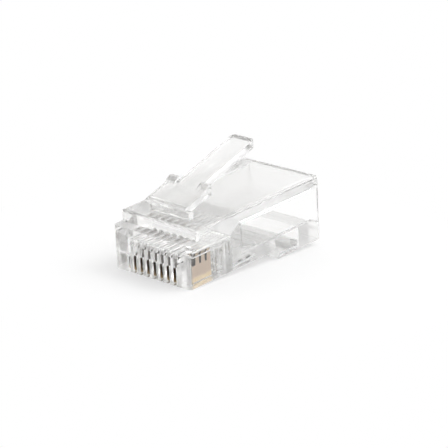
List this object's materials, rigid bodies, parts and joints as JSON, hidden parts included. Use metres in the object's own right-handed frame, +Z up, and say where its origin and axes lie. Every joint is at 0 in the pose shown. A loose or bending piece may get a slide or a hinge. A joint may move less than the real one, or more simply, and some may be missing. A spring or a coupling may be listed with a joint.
{
  "type": "rj45 modular plug",
  "caption": "Clear eight-position modular plug: a moulded housing with a sprung latch, gold blade contacts in comb slots, crimp anvils and an open cable cavity.",
  "frame": {"origin": "under the middle of the plug's length and width, on the plane of the rear boss's underside, which is the lowest face", "axes": "+Z up, towards the latch; +Y towards the cable mouth, so the nose that enters the jack faces -Y; +X to the right seen from the nose's front"},
  "size_m": [0.0116, 0.0226, 0.0136],
  "materials": {
    "clear_plastic": "clear polycarbonate, smooth",
    "contact_gold": "gold-plated phosphor bronze, bright"
  },
  "bodies": {
    "housing": {"housing": "clear_plastic"},
    "latch": {"latch": "clear_plastic"},
    "wire_anvil": {"wire_anvil": "clear_plastic"},
    "jacket_anvil": {"jacket_anvil": "clear_plastic"},
    "contact_1": {"contact_1": "contact_gold"},
    "contact_2": {"contact_2": "contact_gold"},
    "contact_3": {"contact_3": "contact_gold"},
    "contact_4": {"contact_4": "contact_gold"},
    "contact_5": {"contact_5": "contact_gold"},
    "contact_6": {"contact_6": "contact_gold"},
    "contact_7": {"contact_7": "contact_gold"},
    "contact_8": {"contact_8": "contact_gold"}
  },
  "joints": [
    {"name": "latch_flex", "type": "hinge", "parent": "housing", "child": "latch", "pos_m": [0, -0.00762, 0.0086], "axis": [-1, 0, 0], "range_deg": [0, 18], "stiffness_Nm_per_rad": 0.1},
    {"name": "wire_anvil_press", "type": "slide", "parent": "housing", "child": "wire_anvil", "axis": [0, 0, 1], "range_m": [0, 0.0006]},
    {"name": "jacket_anvil_press", "type": "hinge", "parent": "housing", "child": "jacket_anvil", "pos_m": [0, 0.008, 0.00048], "axis": [-1, 0, 0], "range_deg": [0, 25]},
    {"name": "crimp_1", "type": "slide", "parent": "housing", "child": "contact_1", "axis": [0, 0, 1], "range_m": [0, 0.00035]},
    {"name": "crimp_2", "type": "slide", "parent": "housing", "child": "contact_2", "axis": [0, 0, 1], "range_m": [0, 0.00035]},
    {"name": "crimp_3", "type": "slide", "parent": "housing", "child": "contact_3", "axis": [0, 0, 1], "range_m": [0, 0.00035]},
    {"name": "crimp_4", "type": "slide", "parent": "housing", "child": "contact_4", "axis": [0, 0, 1], "range_m": [0, 0.00035]},
    {"name": "crimp_5", "type": "slide", "parent": "housing", "child": "contact_5", "axis": [0, 0, 1], "range_m": [0, 0.00035]},
    {"name": "crimp_6", "type": "slide", "parent": "housing", "child": "contact_6", "axis": [0, 0, 1], "range_m": [0, 0.00035]},
    {"name": "crimp_7", "type": "slide", "parent": "housing", "child": "contact_7", "axis": [0, 0, 1], "range_m": [0, 0.00035]},
    {"name": "crimp_8", "type": "slide", "parent": "housing", "child": "contact_8", "axis": [0, 0, 1], "range_m": [0, 0.00035]}
  ]
}
